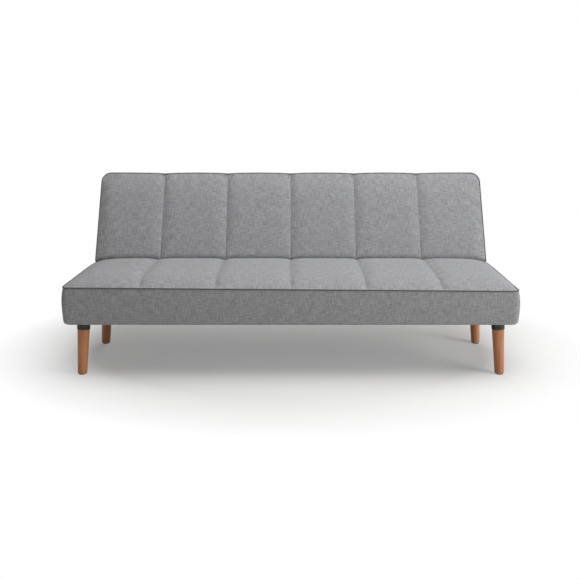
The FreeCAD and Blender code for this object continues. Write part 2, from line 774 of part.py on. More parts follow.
def leg_set(panel, legs, prefix, caps):
    collars, glides, bolts, inserts, blocks = [], [], [], [], []
    for label, leg_s, side in legs:
        name = f"{prefix}_{label}"
        turning = on_leg_axis(wood_leg(name + "_wood"), panel, leg_s, side,
                              "collar_height + wood_length")
        node(name, panel, [turning])

        ring = bind(part("Cylinder", name + "_collar"), Radius="collar_r",
                    Height="collar_height + collar_spare")
        on_leg_axis(ring, panel, leg_s, side, "collar_height")
        bore = bind(part("Cylinder", name + "_collar_bore"), Radius="bolt_r + bolt_clear",
                    Height="collar_height + collar_spare + 2 * overrun")
        on_leg_axis(bore, panel, leg_s, side, "collar_height + overrun")
        below = box(name + "_below", panel, f"{panel.leg_x} - trim_half", f"{leg_s} - trim_half",
                    "underside - leg_height / 2", "2 * trim_half", "2 * trim_half",
                    "leg_height / 2", side)
        collars.append(common(name + "_collar_flush",
                              cut(name + "_collar_bored", ring, [bore]), below))

        disc = bind(part("Cylinder", name + "_glide"), Radius="glide_r",
                    Height="glide_height + glide_spare")
        on_leg_axis(disc, panel, leg_s, side, "leg_axis + glide_spare")
        above = box(name + "_above", panel, f"{panel.leg_x} - trim_half", f"{leg_s} - trim_half",
                    "underside - leg_height", "2 * trim_half", "2 * trim_half",
                    "leg_height / 2", side)
        glides.append(common(name + "_glide_flat", disc, above))

        bolt = bind(part("Cylinder", name + "_bolt"), Radius="bolt_r",
                    Height="collar_height + bolt_in_leg + fabric + insert_length"
                           " + bolt_spare")
        bolts.append(on_leg_axis(bolt, panel, leg_s, side, "collar_height + bolt_in_leg"))

        sleeve = bind(part("Cylinder", name + "_insert"), Radius="insert_r",
                      Height="insert_length")
        on_leg_axis(sleeve, panel, leg_s, side, "-(fabric + insert_sink)")
        thread = bind(part("Cylinder", name + "_insert_bore"), Radius="bolt_r + bolt_clear",
                      Height="insert_length + 2 * overrun")
        on_leg_axis(thread, panel, leg_s, side, "overrun - fabric - insert_sink")
        inserts.append(cut(name + "_insert_threaded", sleeve, [thread]))

        lump = box(name + "_block", panel, f"{panel.leg_x} - block_side / 2",
                   f"{leg_s} - block_side / 2", "frame_base", "block_side", "block_side",
                   "block_height", side)
        drill = bind(part("Cylinder", name + "_block_bore"), Radius="insert_r + bolt_clear",
                     Height="block_height + 2 * collar_spare")
        on_leg_axis(drill, panel, leg_s, side, "collar_spare - fabric")
        blocks.append(cut(name + "_block_bored", lump, [drill]))
    node(panel.name + "_corner_blocks", panel, blocks)
    node(caps + "_collars", panel, collars)
    node(caps + "_glides", panel, glides)
    node(caps + "_hanger_bolts", panel, bolts)
    node(caps + "_threaded_inserts", panel, inserts)


SEAT_LEGS = [("rear_left", "near_leg_s", -1), ("rear_right", "near_leg_s", 1),
             ("front_left", "seat_far_leg_s", -1), ("front_right", "seat_far_leg_s", 1)]
BED_LEGS = [("left", "back_far_leg_s", -1), ("right", "back_far_leg_s", 1)]
leg_set(SEAT, SEAT_LEGS, "leg", "leg")
leg_set(BACK, BED_LEGS, "bed_leg", "bed_leg")


# Dust covers: thin sheets that close the windows in the covers' undersides
for panel, legs in ((SEAT, SEAT_LEGS), (BACK, BED_LEGS)):
    edge = "hem + sheet_clear"
    cloth = box(panel.name + "_dust_sheet", panel, f"-({panel.half} - ({edge}))",
                f"near_face + {edge}", "underside", f"2 * ({panel.half} - ({edge}))",
                f"{panel.far_face} - near_face - 2 * ({edge})", "fabric")
    holes = [rod_h(f"{panel.name}_dust_hole_{label}", panel, panel.leg_x, leg_s,
                   "underside - overrun", "sheet_hole_r", "fabric + 2 * overrun", side)
             for label, leg_s, side in legs]
    node(panel.name + "_dust_cover", panel, [cut(panel.name + "_dust_cut", cloth, holes)])


# Hinges: a flat arm from each frame to the rivet on the hinge line
def hinge_arm(name, panel, side):
    x = panel.plate_x
    hub = rod_x(name + "_hub", panel, x, "0", "0", "hub_r", "plate", side)
    arm = box(name + "_arm", panel, x, "0", "-arm_half", "plate",
              "mount_near + mount_arm_width", "2 * arm_half", side)
    upright = box(name + "_upright", panel, x, "mount_near", "mount_base", "plate",
                  "mount_arm_width", "arm_half - mount_base", side)
    foot = box(name + "_foot", panel, x, "mount_near", "mount_base", "plate",
               "mount_far - mount_near", "mount_height", side)
    return [hub, arm, upright, foot]


def hinge_holes(name, panel, side):
    x = f"{panel.plate_x} - overrun"
    holes = [rod_x(name + "_rivet_hole", panel, x, "0", "0", "rivet_r + pivot_clear",
                   "plate + 2 * overrun", side)]
    for number in (-1, 0, 1):
        holes.append(rod_x(f"{name}_mount_hole_{number + 1}", panel, x,
                           f"mount_screw_s + {number} * mount_screw_spacing", "mount_screw_h",
                           "coach_screw_r + screw_clear", "plate + 2 * overrun", side))
    return holes


def sector(name, side, radius, start, angle):
    """A slice of a disc on the back plate. Angles turn from the rear towards up, bed flat."""
    wedge = bind(part("Cylinder", name), Radius=radius, Height="plate", Angle=angle)
    turn = FreeCAD.Rotation(Y_AXIS, 90).multiply(FreeCAD.Rotation(Z_AXIS, start + 90))
    wedge.Placement = FreeCAD.Placement(V(), turn)
    x = "back_plate_x" if side > 0 else "-back_plate_x - plate"
    return set_place(wedge, x, "0", "0")


first_tooth = size.tooth_angle - size.flat_angle
second_tooth = first_tooth + size.click_angle
coach_screws = {SEAT: [], BACK: []}
for label, side in SIDES:
    name = "hinge_seat_plate_" + label
    holes = hinge_holes(name, SEAT, side)
    holes.append(rod_x(name + "_pawl_hole", SEAT, "seat_plate_x - overrun", "pawl_s", "-pawl_drop",
                       "pawl_pin_r + pivot_clear", "plate + 2 * overrun", side))
    peg = rod_x(name + "_peg", SEAT, "back_plate_x", "peg_s", "peg_rise", "peg_r",
                "seat_plate_x - back_plate_x", side)
    blank = fuse(name + "_blank", hinge_arm(name, SEAT, side) + [peg])
    node(name, SEAT, [cut(name + "_pierced", blank, holes)])

    name = "hinge_back_plate_" + label
    teeth = [
        sector(name + "_root", side, "tooth_root_r", first_tooth, "root_angle"),
        sector(name + "_sitting_tooth", side, "tooth_r", first_tooth, "sitting_tooth_width"),
        sector(name + "_resting_tooth", side, "tooth_r", second_tooth, "resting_tooth_width"),
    ]
    blank = fuse(name + "_blank", hinge_arm(name, BACK, side) + teeth)
    node(name, BACK, [cut(name + "_pierced", blank, hinge_holes(name, BACK, side))])

    name = "hinge_rivet_" + label
    shank = rod_x(name + "_shank", SEAT, "back_plate_x - washer_clear", "0", "0", "rivet_r",
                  "seat_plate_x - back_plate_x + plate + washer_clear", side)
    head = rod_x(name + "_head", SEAT, "back_plate_x - washer_clear - rivet_head", "0", "0",
                 "rivet_head_r", "rivet_head", side)
    tail = rod_x(name + "_tail", SEAT, "seat_plate_x + plate", "0", "0", "rivet_head_r",
                 "rivet_head", side)
    node(name, SEAT, [fuse(name + "_solid", [shank, head, tail])])

    name = "hinge_washer_" + label
    disc = rod_x(name + "_disc", SEAT, "seat_plate_x - washer", "0", "0", "rivet_head_r",
                 "washer", side)
    hole = rod_x(name + "_hole", SEAT, "seat_plate_x - plate_gap - overrun", "0", "0",
                 "rivet_r + pivot_clear", "plate_gap + 2 * overrun", side)
    node(name, SEAT, [cut(name + "_ring", disc, [hole])])

    for panel in PANELS:
        for number in (-1, 0, 1):
            name = f"{panel.name}_coach_screw_{label}_{number + 1}"
            s = f"mount_screw_s + {number} * mount_screw_spacing"
            shank = rod_x(name + "_shank", panel, panel.plate_x, s, "mount_screw_h",
                          "coach_screw_r", "coach_screw_length", side)
            head = bind(part("Prism", name + "_head"), Circumradius="coach_head_r",
                        Height="coach_head")
            head.Placement = FreeCAD.Placement(V(), FreeCAD.Rotation(Y_AXIS, 90))
            x = f"{panel.plate_x} - coach_head" if side > 0 else f"-{panel.plate_x}"
            set_place(head, x, panel.y(s), "mount_screw_h")
            coach_screws[panel].append(fuse(name, [shank, head]))
node("hinge_seat_coach_screws", SEAT, coach_screws[SEAT])
node("hinge_back_coach_screws", BACK, coach_screws[BACK])


# Pawls: each a tapered lever on a pin in the seat plate, drawn lifted off the teeth
def pawl(name, side):
    body = doc.addObject("PartDesign::Body", name + "_lever")
    outline = polygon_sketch(body, name + "_outline", "XY_Plane", [
        ("0", "-pawl_root / 2"),
        ("pawl_length", "-pawl_tip / 2"),
        ("pawl_length", "pawl_tip / 2"),
        ("0", "pawl_root / 2"),
    ])
    lever = body.newObject("PartDesign::Pad", name + "_pad")
    lever.Profile = outline
    bind(lever, Length="plate")
    angle = -math.radians(size.pawl_angle)
    along = V(0, math.cos(angle), math.sin(angle))
    across = V(0, -math.sin(angle), math.cos(angle))
    body.Placement = FreeCAD.Placement(V(), FreeCAD.Rotation(along, across, X_AXIS, "ZXY"))
    x = "back_plate_x" if side > 0 else "-back_plate_x - plate"
    set_place(body, x, "-pawl_s", "-pawl_drop")
    hub = rod_x(name + "_hub", SEAT, "back_plate_x", "pawl_s", "-pawl_drop", "pawl_hub_r",
                "plate", side)
    hole = rod_x(name + "_hole", SEAT, "back_plate_x - overrun", "pawl_s", "-pawl_drop",
                 "pawl_pin_r + pivot_clear", "plate + 2 * overrun", side)
    return cut(name + "_drilled", fuse(name + "_blank", [body, hub]), [hole])


pawl_pins = []
for label, side in SIDES:
    node("pawl_" + label, SEAT, [pawl("pawl_" + label, side)])

    name = "pawl_pin_" + label
    shank = rod_x(name + "_shank", SEAT, "back_plate_x - washer_clear", "pawl_s", "-pawl_drop",
                  "pawl_pin_r", "seat_plate_x - back_plate_x + plate + washer_clear", side)
    head = rod_x(name + "_head", SEAT, "back_plate_x - washer_clear - pawl_pin_head", "pawl_s",
                 "-pawl_drop", "pawl_pin_head_r", "pawl_pin_head", side)
    tail = rod_x(name + "_tail", SEAT, "seat_plate_x + plate", "pawl_s", "-pawl_drop",
                 "pawl_pin_head_r", "pawl_pin_head", side)
    pawl_pins.append(fuse(name, [shank, head, tail]))

    name = "pawl_spring_" + label
    x = "back_plate_x + spring_side_gap"
    width = "plate - 2 * spring_side_gap"
    tip_s = "pawl_s - spring_tip_reach"
    strip_h = "peg_rise + peg_r + spring_eye_clear"
    tip_h = "pawl_hub_r - pawl_drop + spring_tip_gap"
    eye = rod_x(name + "_eye", SEAT, x, "peg_s", "peg_rise",
                "peg_r + spring_eye_clear + spring_strip", width, side)
    eye_bore = rod_x(name + "_eye_bore", SEAT, "back_plate_x", "peg_s", "peg_rise",
                     "peg_r + spring_eye_clear", "plate", side)
    strip = box(name + "_strip", SEAT, x, tip_s, strip_h, width,
                "peg_s - pawl_s + spring_tip_reach", "spring_strip", side)
    tip = box(name + "_tip", SEAT, x, tip_s, tip_h, width, "spring_strip",
              f"{strip_h} + spring_strip - ({tip_h})", side)
    ring = cut(name + "_ring", eye, [eye_bore])
    node(name, SEAT, [fuse(name + "_bent", [ring, strip, tip])])
node("pawl_pins", SEAT, pawl_pins)


doc.recompute()
for thing in doc.Objects:
    if "Invalid" in thing.State or "Error" in thing.State:
        raise RuntimeError(f"{thing.Name} did not compute: {thing.State}")
for piece in NODES:
    if piece.Shape.isNull() or not piece.Shape.isValid() or not piece.Shape.Solids:
        raise RuntimeError(f"{piece.Label} has no sound shape")

os.makedirs("parts", exist_ok=True)
for piece in NODES:
    piece.Shape.exportStep(f"parts/{piece.Label}.step")
print(f"{len(NODES)} nodes, {sum(len(piece.Shape.Solids) for piece in NODES)} solids")
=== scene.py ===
import bmesh
import bpy
import json
import math
import numpy as np
import random
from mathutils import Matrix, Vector


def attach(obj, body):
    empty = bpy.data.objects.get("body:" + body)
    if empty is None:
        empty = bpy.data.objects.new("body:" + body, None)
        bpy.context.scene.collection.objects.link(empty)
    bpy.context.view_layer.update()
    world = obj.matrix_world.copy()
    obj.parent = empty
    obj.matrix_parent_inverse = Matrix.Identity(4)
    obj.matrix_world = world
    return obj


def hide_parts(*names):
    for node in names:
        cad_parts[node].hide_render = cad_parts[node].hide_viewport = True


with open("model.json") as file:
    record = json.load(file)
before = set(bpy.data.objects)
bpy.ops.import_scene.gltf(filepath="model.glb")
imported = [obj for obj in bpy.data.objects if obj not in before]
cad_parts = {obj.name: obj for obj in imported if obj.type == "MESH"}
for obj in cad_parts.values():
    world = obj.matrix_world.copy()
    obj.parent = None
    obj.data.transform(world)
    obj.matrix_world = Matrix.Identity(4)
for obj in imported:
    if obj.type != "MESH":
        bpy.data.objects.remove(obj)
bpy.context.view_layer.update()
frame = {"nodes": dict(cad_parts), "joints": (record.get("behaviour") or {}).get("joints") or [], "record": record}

# Camera: a longish lens square in front of the sofa, just left of its middle and looking ten degrees
# down. The picture was cropped below the lens's axis, which the vertical shift repeats.
film_width = 36
picture_width_pixels = 580
focal_length_pixels = 788
crop_shift_pixels = -47.6
tilt_down = 10
camera_data = bpy.data.cameras.new("camera")
camera_data.sensor_width = film_width
camera_data.lens = film_width * focal_length_pixels / picture_width_pixels
camera_data.shift_y = crop_shift_pixels / picture_width_pixels
camera = bpy.data.objects.new("camera", camera_data)
camera.location = (-0.0034, -3.518, 1.084)
camera.rotation_euler = (math.radians(90 - tilt_down), 0, 0)
bpy.context.scene.collection.objects.link(camera)
bpy.context.scene.camera = camera


# Floor and light: a seamless white studio floor under a large overhead softbox, with a second
# light from the right and a third low behind. Seen from the camera, the floor keeps its real shading
# near the sofa, lightened by a painted glow, and round it is an even white glow.
class Value:
    """One socket of a shader, so that sums of sockets are written as formulas."""

    def __init__(self, tree, socket):
        self.tree = tree
        self.socket = socket

    def sum(self, operation, *others):
        maths = self.tree.nodes.new("ShaderNodeMath")
        maths.operation = operation
        for slot, term in zip(maths.inputs, (self,) + others):
            if isinstance(term, Value):
                self.tree.links.new(term.socket, slot)
            else:
                slot.default_value = term
        return Value(self.tree, maths.outputs[0])

    def __add__(self, other):
        return self.sum("ADD", other)

    def __sub__(self, other):
        return self.sum("SUBTRACT", other)

    def __mul__(self, other):
        return self.sum("MULTIPLY", other)

    def above(self, low, high):
        """From 0 at low to 1 at high."""
        return ((self - low) * (1 / (high - low))).sum("MAXIMUM", 0).sum("MINIMUM", 1)


class Paint:
    """One material, with a method for each kind of node that the finishes are mixed from."""

    def __init__(self, name, **sockets):
        self.material = bpy.data.materials.new(name)
        self.material.use_nodes = True
        self.tree = self.material.node_tree
        self.shader = self.tree.nodes["Principled BSDF"]
        self.set(**sockets)

    def fill(self, node, sockets):
        for name, term in sockets.items():
            slot = node.inputs[name.replace("_", " ")]
            if isinstance(term, Value):
                self.tree.links.new(term.socket, slot)
            else:
                slot.default_value = term

    def set(self, **sockets):
        self.fill(self.shader, sockets)

    def node(self, kind, output=0, options=None, **sockets):
        made = self.tree.nodes.new("ShaderNode" + kind)
        for name, value in (options or {}).items():
            setattr(made, name, value)
        self.fill(made, sockets)
        return Value(self.tree, made.outputs[output])

    def place(self):
        return self.node("TexCoord", 3)

    def stretched(self, place, across, along, depth):
        return self.node("Mapping", Vector=place, Scale=(across, along, depth))

    def noise(self, vector, scale, detail=2.0, roughness=0.5):
        return self.node("TexNoise", 0, Vector=vector, Scale=scale, Detail=detail,
                         Roughness=roughness)

    def between(self, factor, first, second):
        """The first colour at 0, the second at 1."""
        mix = self.tree.nodes.new("ShaderNodeMix")
        mix.data_type = "RGBA"
        self.tree.links.new(factor.socket, mix.inputs[0])
        for slot, colour in ((mix.inputs[6], first), (mix.inputs[7], second)):
            if isinstance(colour, Value):
                self.tree.links.new(colour.socket, slot)
            else:
                slot.default_value = (*colour, 1)
        return Value(self.tree, mix.outputs[2])

    def bump(self, height, distance, strength=1.0):
        self.set(Normal=self.node("Bump", Height=height, Distance=distance, Strength=strength))


floor_half = 30
grey_until, white_from = 0.72, 1.08
# Painted glow: seen from the camera, at least this share of white emission lies over the floor's real shading and
# lightens the shadow under the sofa.
least_painted_glow = 0.17
floor_mesh = bpy.data.meshes.new("studio_floor")
floor_form = bmesh.new()
bmesh.ops.create_grid(floor_form, x_segments=2, y_segments=2, size=floor_half)
floor_form.to_mesh(floor_mesh)
floor_form.free()
floor = bpy.data.objects.new("studio_floor", floor_mesh)
bpy.context.scene.collection.objects.link(floor)
floor_paint = Paint("studio_floor", Base_Color=(0.66, 0.655, 0.645, 1), Roughness=0.9)
spread = floor_paint.node("VectorMath", 1, {"operation": "LENGTH"},
                          Vector=floor_paint.stretched(floor_paint.place(), 0.8, 1.0, 0))
rays = floor_paint.tree.nodes.new("ShaderNodeLightPath")
glow = floor_paint.tree.nodes.new("ShaderNodeEmission")
glow.inputs["Strength"].default_value = 1.0
join = floor_paint.tree.nodes.new("ShaderNodeMixShader")
seen = Value(floor_paint.tree, rays.outputs["Is Camera Ray"])
# Share of painted glow seen by the camera: the least share near the sofa, rising to full white glow beyond
# white_from.
painted_glow_share = (spread.above(grey_until, white_from) * (1 - least_painted_glow) + least_painted_glow) * seen
floor_paint.tree.links.new(painted_glow_share.socket, join.inputs[0])
floor_paint.tree.links.new(floor_paint.shader.outputs[0], join.inputs[1])
floor_paint.tree.links.new(glow.outputs[0], join.inputs[2])
floor_paint.tree.links.new(join.outputs[0], floor_paint.tree.nodes["Material Output"].inputs[0])
floor_mesh.materials.append(floor_paint.material)

room_light = 0.2
world = bpy.data.worlds.new("studio")
bpy.context.scene.world = world
world.use_nodes = True
world_tree = world.node_tree
sky = world_tree.nodes["Background"]
sky.inputs[0].default_value = (1, 1, 1, 1)
world_rays = world_tree.nodes.new("ShaderNodeLightPath")
white = Value(world_tree, world_rays.outputs["Is Camera Ray"])
for kind in ("Is Glossy Ray", "Is Transmission Ray"):
    white = white.sum("MAXIMUM", Value(world_tree, world_rays.outputs[kind]))
world_tree.links.new((white * (1 - room_light) + room_light).socket, sky.inputs[1])

for lamp_name, size, power, place, aim in (
    ("overhead_softbox", 3.0, 98, (0.3, -0.5, 3.2), (0, 0, 0.3)),
    ("right_softbox", 1.8, 74, (3.4, -2.0, 1.3), (0, 0, 0.4)),
    ("rear_softbox", 2.6, 46, (0.2, 3.4, 1.2), (0, 0.3, 0)),
):
    lamp_data = bpy.data.lights.new(lamp_name, "AREA")
    lamp_data.size = size
    lamp_data.energy = power
    lamp = bpy.data.objects.new(lamp_name, lamp_data)
    lamp.location = place
    lamp.visible_camera = False
    lamp.rotation_euler = (Vector(aim) - Vector(place)).to_track_quat("-Z", "Y").to_euler()
    bpy.context.scene.collection.objects.link(lamp)

bpy.context.scene.view_settings.view_transform = "Standard"


# Upholstery fabric: a plain weave of mid-grey heather yarn with slubs. The weave lies along each
# sewn piece, so its place comes from the piece's own "cloth" map, in metres.
def weave_paint(name, light, dark):
    """Yarns and streaks are counted per metre, along the yarn and across it."""
    yarn_along, yarn_across = 38, 620
    streak_along, streak_across = 30, 250
    paint = Paint(name, Roughness=0.88, Specular_IOR_Level=0.25, Sheen_Weight=0.25,
                  Sheen_Roughness=0.5)
    place = paint.node("UVMap", 0, {"uv_map": "cloth"})
    weft = paint.noise(paint.stretched(place, yarn_along, yarn_across, 1), 1.0, 2.0, 0.55)
    warp = paint.noise(paint.stretched(place, yarn_across, yarn_along, 1), 1.0, 2.0, 0.55)
    long_weft = paint.noise(paint.stretched(place, streak_along, streak_across, 1), 1.0, 2.0, 0.6)
    long_warp = paint.noise(paint.stretched(place, streak_across, streak_along, 1), 1.0, 2.0, 0.6)
    streak = (long_weft + long_warp) * 0.5
    blotch = paint.noise(place, 26.0, 2.0, 0.5)
    slub = weft.above(0.6, 0.72) + warp.above(0.62, 0.74)
    tone = (weft + warp) * 0.5
    shade = (tone.above(0.34, 0.66) * 0.34 + streak.above(0.4, 0.6) * 0.46
             + blotch.above(0.3, 0.7) * 0.08 + slub * 0.2)
    paint.set(Base_Color=paint.between(shade.sum("MINIMUM", 1), dark, light))
    across, along = (
        paint.node("TexWave", 0, {"wave_type": "BANDS", "bands_direction": direction},
                   Vector=place, Scale=210.0, Distortion=0.6, Detail=1.0, Detail_Scale=0.4)
        for direction in "XY")
    paint.bump(across.sum("MAXIMUM", along) * 0.6 + slub * 0.5 + tone, 0.0006, 0.8)
    return paint.material


grey_weave = weave_paint("grey_weave", (0.40, 0.402, 0.410), (0.165, 0.166, 0.171))


# Covers: each panel's cover is sewn from a channelled top in six widths, a boxing strip round the
# sides and a hem stapled under the frame. Foam fills it out between the seams, which hold it down.
class Cover:
    """A panel's cover, drawn lying flat: s runs out from the hinge line and h up from it.

    near is where it starts, edge the height of its sewn edge and base that of its underside.
    """

    near = 0.009
    edge = 0.011
    base = -0.135
    widths = 6
    spacing = 0.0155
    roll_steps = 6
    boxing_steps = 10
    side_swell = 0.0055
    far_swell = 0.0040
    side_spread = 0.005
    near_bend = 0.008
    hem_turn = 0.031
    hem_lap = 0.034
    hem_rise = 0.003
    hinge_from, hinge_to = 0.845, 0.874
    hinge_slack = 0.002
    hinge_depth = 0.004
    pocket_taper = 0.8
    on_seam = 0.0003
    give_run = 0.12

    def __init__(self, name, half, far, corner, turn, scallop, pocket, crown, end_run, rear_fall,
                 flare, tilt, dip, crease, bend, bend_drop):
        """Sizes are in metres, and turn is how far the panel is raised from lying flat, in degrees.

        half is half its width and far its reach from the hinge line. corner rounds its far corners,
        scallop draws its far edge in at each seam, and pocket clears the hinges. crown is the rise
        of the top over end_run from each end, less the share rear_fall beside the crevice. flare
        widens it at the hinge line, and tilt lowers its far edge at the right end. dip and crease
        are the broad and narrow hollows at a seam, and bend and bend_drop the rolled lower edge.
        """
        self.name = name
        self.half = half
        self.far = far
        self.corner = corner
        self.turn = math.radians(turn)
        self.scallop = scallop
        self.pocket = pocket
        self.crown = crown
        self.end_run = end_run
        self.rear_fall = rear_fall
        self.flare = flare
        self.tilt = tilt
        self.dip = dip
        self.crease = crease
        self.bend = bend
        self.bend_drop = bend_drop
        self.direction = -1 if turn == 0 else 1
        self.seams = [half * (2 * i / self.widths - 1) for i in range(1, self.widths)]
        self.columns = self.lay_columns()
        self.hinge_y = frame["joints"][0]["pos_m"][1]
        self.hinge_z = frame["joints"][0]["pos_m"][2]

    def lay_columns(self):
        """Columns across the width, close together at the seams, the hinges and the corners."""
        marks = {0.0}
        for seam in self.seams:
            for step in (0, 0.002, 0.0045, 0.009, 0.016):
                marks.update((seam - step, seam + step))
        for side in (self.hinge_from, self.hinge_to):
            for hinge in (side - self.hinge_slack, side + self.hinge_slack):
                if hinge < self.half - self.corner:
                    marks.update((-hinge, hinge))
        for step in range(10):
            bend = self.corner * (1 - math.sin(math.radians(10 * step)))
            marks.update((bend - self.half, self.half - bend))
        least_gap = 0.0001
        marks = sorted(marks)
        columns = [marks[0]]
        for mark in marks[1:]:
            gap = mark - columns[-1]
            if gap < least_gap:
                continue
            pieces = math.ceil(gap / self.spacing)
            columns += [columns[-1] + gap * (i + 1) / pieces for i in range(pieces)]
        return columns

    def sewn(self, x, width):
        """1 on a seam, falling off beside it."""
        return max(math.exp(-abs(x - seam) / width) for seam in self.seams)

    def far_edge(self, x):
        """How far the top reaches from the hinge line, less at the round corners and the seams."""
        scallop_width = 0.055
        into = min(max(abs(x) - (self.half - self.corner), 0), self.corner)
        bend = self.corner - math.sqrt(self.corner ** 2 - into ** 2)
        return self.far - bend - self.scallop * self.sewn(x, scallop_width)

    def top(self, x, from_far):
        """Height of the sleeping surface: crowned, and drawn down at the seams."""
        far_run, tilt_run = 0.14, 0.5
        seam_start, seam_fade = 0.03, 0.1
        dip_width, crease_width = 0.02, 0.0035
        from_end = self.half - abs(x)
        rise = self.crown * (1 - math.exp(-from_end / self.end_run))
        rise *= 1 - (1 - min(from_far / far_run, 1)) ** 2
        held = min(from_far / seam_start, 1)
        held *= 2 - held
        down = self.dip * self.sewn(x, dip_width) + self.crease * self.sewn(x, crease_width)
        level = self.edge - self.tilt * x / self.half * (1 - min(from_far / tilt_run, 1))
        return level + rise - down * held * min(from_end / seam_fade, 1)

    def column(self, x):
        """One column of the top, from the crevice up over the rolled edge and out to the welt."""
        usual_roll, fall_run = 0.027, 0.13
        end = self.far_edge(x)
        roll = self.top(x, 1) * (1 - self.rear_fall)
        points = [(x, self.near + roll * (1 - math.cos(a)), roll * math.sin(a))
                  for a in (math.pi / 2 * i / self.roll_steps for i in range(self.roll_steps))]
        length = end - self.near - roll
        from_far = [0, 0.0025, 0.006, 0.012, 0.021]
        full = self.far - self.near - usual_roll
        count = math.ceil((full - from_far[-1]) / self.spacing)
        rest = [from_far[-1] + (full - from_far[-1]) * (i + 1) / count for i in range(count)]
        for distance in reversed(from_far + rest):
            distance *= length / full
            s = end - distance
            short = 1 - min((s - self.near - roll) / (fall_run - roll), 1)
            points.append((x, s, self.top(x, distance) * (1 - self.rear_fall * short ** 2)))
        reach = self.far - self.near
        return [(x * (1 + self.flare / self.half * (1 - 2 * (s - self.near) / reach)), s, h)
                for x, s, h in points]

    def drawn_in(self, x, s, side_in, far_in, near_in):
        """The same place on a smaller or larger outline."""
        x *= 1 - side_in / self.half
        reach = self.far - self.near
        s = self.near + near_in + (s - self.near) * (reach - near_in - far_in) / reach
        return x, s

    def build(self):
        """The cover as one closed mesh: the top, the boxing, the rolled lower edge and the underside."""
        grid = [self.column(x) for x in self.columns]
        rows = len(grid[0])
        wide = len(grid)
        points = [point for column in grid for point in column]
        cloth = [(x, s) for x, s, h in points]
        faces = []
        maps = []
        pins = set()

        def number(i, j):
            return i * rows + j

        def quad(corners, where):
            faces.append(corners)
            maps.append(where)

        for i in range(wide - 1):
            for j in range(rows - 1):
                corners = (number(i, j), number(i + 1, j), number(i + 1, j + 1), number(i, j + 1))
                quad(corners, [cloth[k] for k in corners])
        for i, x in enumerate(self.columns):
            if min(abs(x - seam) for seam in self.seams) < self.on_seam:
                pins.update(number(i, j) for j in range(rows))

        top_count = len(points)
        edge = [number(i, 0) for i in range(wide)]
        edge += [number(wide - 1, j) for j in range(1, rows)]
        edge += [number(i, rows - 1) for i in range(wide - 2, -1, -1)]
        edge += [number(0, j) for j in range(rows - 2, 0, -1)]
        welt = [number(0, j) for j in range(rows)]
        welt += [number(i, rows - 1) for i in range(1, wide)]
        welt += [number(wide - 1, j) for j in range(rows - 2, -1, -1)]
        run = [0.0]
        for a, b in zip(edge, edge[1:] + edge[:1]):
            run.append(run[-1] + math.dist(points[a][:2], points[b][:2]))

        rings = []
        for step in range(1, self.boxing_steps):
            share = step / self.boxing_steps
            swell = math.sin(math.pi * share ** 0.8)
            side_in = -self.side_swell * swell - self.side_spread * share
            rings.append((side_in, -self.far_swell * swell, 0, share, 0.0))
        for angle in (0, 22, 45, 68, 90):
            inward = self.bend * (1 - math.cos(math.radians(angle)))
            rings.append((inward - self.side_spread, inward, min(inward, self.near_bend), 1.0,
                          self.bend_drop * math.sin(math.radians(angle))))
        rings.append((*[self.hem_turn] * 3, 1.0, self.bend_drop))
        rings.append((*[self.hem_lap] * 3, 1.0, self.bend_drop - self.hem_rise))
        before = edge
        before_v = [0.0] * len(edge)
        for side_in, far_in, near_in, share, drop in rings:
            ring = []
            ring_v = []
            for place, index in enumerate(edge):
                x, s, h = points[index]
                level = h + (self.base + self.bend_drop - h) * share - drop
                x, s = self.drawn_in(x, s, side_in, far_in, near_in)
                if s < self.near + self.hinge_depth and self.hinge_from < abs(x) < self.hinge_to:
                    s += max(self.pocket - abs(level), 0) * self.pocket_taper
                ring.append(len(points))
                ring_v.append(before_v[place] - math.dist((x, s, level), points[before[place]]))
                points.append((x, s, level))
            for place in range(len(edge)):
                after = (place + 1) % len(edge)
                corners = (before[after], before[place], ring[place], ring[after])
                along = (run[place + 1], run[place], run[place], run[place + 1])
                down = (before_v[after], before_v[place], ring_v[place], ring_v[after])
                quad(corners, list(zip(along, down)))
            before = ring
            before_v = ring_v
        rim = dict(zip(edge, before))
        level = points[before[0]][2]
        under = {}
        for i in range(wide):
            for j in range(rows):
                if number(i, j) in rim:
                    under[i, j] = rim[number(i, j)]
                    continue
                x, s = self.drawn_in(*points[number(i, j)][:2], *[self.hem_lap] * 3)
                under[i, j] = len(points)
                points.append((x, s, level))
        for i in range(wide - 1):
            for j in range(rows - 1):
                corners = (under[i, j], under[i, j + 1], under[i + 1, j + 1], under[i + 1, j])
                quad(corners, [points[k][:2] for k in corners])
        pins.update(edge)
        pins.update(range(top_count, len(points)))

        mesh = bpy.data.meshes.new(self.name)
        mesh.from_pydata([self.place(*point) for point in points], [], faces)
        layer = mesh.uv_layers.new(name="cloth")
        layer.data.foreach_set("uv", [value for where in maps for pair in where for value in pair])
        if self.direction < 0:
            mesh.flip_normals()
        mesh.polygons.foreach_set("use_smooth", [True] * len(faces))
        made = bpy.data.objects.new(self.name, mesh)
        bpy.context.scene.collection.objects.link(made)
        self.pins = pins
        self.give = [min(max((s - self.near) / self.give_run, 0), 1) for x, s, h in points]
        self.welt = welt
        return made

    def place(self, x, s, h):
        """From the flat bed's places to the sitting place."""
        y, z = self.direction * s, h
        if self.direction > 0:
            y, z = (y * math.cos(self.turn) - z * math.sin(self.turn),
                    y * math.sin(self.turn) + z * math.cos(self.turn))
        return x, y + self.hinge_y, z + self.hinge_z


